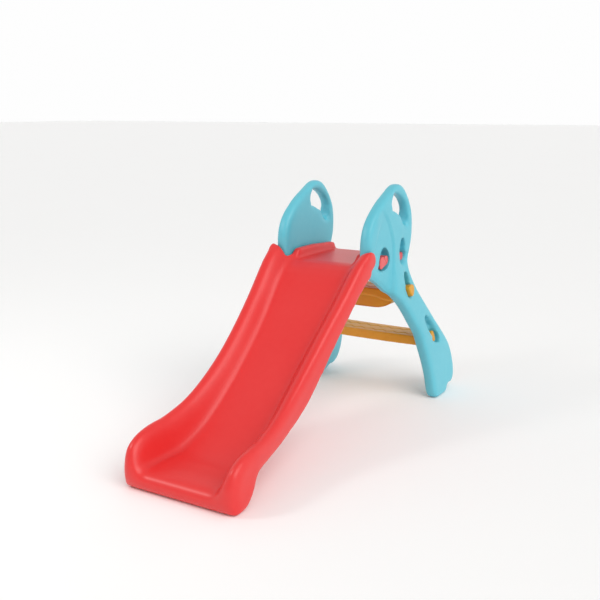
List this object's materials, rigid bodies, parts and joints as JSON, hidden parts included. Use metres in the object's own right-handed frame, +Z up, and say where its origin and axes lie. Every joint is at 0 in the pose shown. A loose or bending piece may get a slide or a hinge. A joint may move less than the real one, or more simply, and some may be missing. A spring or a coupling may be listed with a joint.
{
  "type": "folding toddler slide",
  "caption": "Low moulded-plastic slide for toddlers: a sloping chute with raised rims, hung between two splayed side panels that carry two steps and fold under the chute.",
  "frame": {"origin": "on the floor, in the middle of the slide's length and width", "axes": "+Z is up, -Y points to the chute's exit, and +X is to the right of someone who looks from the exit towards the steps"},
  "size_m": [0.6, 1.45, 0.839],
  "materials": {
    "red_plastic": "satin moulded polyethylene, very fine grain",
    "blue_plastic": "satin moulded polyethylene, very fine grain",
    "yellow_plastic": "satin moulded polyethylene, very fine grain",
    "pink_plastic": "satin injection-moulded plastic",
    "screw_steel": "plated screw"
  },
  "bodies": {
    "slide": {"chute": "red_plastic", "right_pivot_boss": "pink_plastic", "left_pivot_boss": "pink_plastic", "right_boss_screw": "screw_steel", "left_boss_screw": "screw_steel"},
    "ladder": {"right_panel": "blue_plastic", "left_panel": "blue_plastic", "upper_step": "yellow_plastic", "lower_step": "yellow_plastic", "right_stop_peg": "pink_plastic", "left_stop_peg": "pink_plastic"}
  },
  "joints": [
    {"name": "fold", "type": "hinge", "parent": "slide", "child": "ladder", "pos_m": [0, 0.238, 0.578], "axis": [-1, 0, 0], "range_deg": [0, 76]}
  ]
}
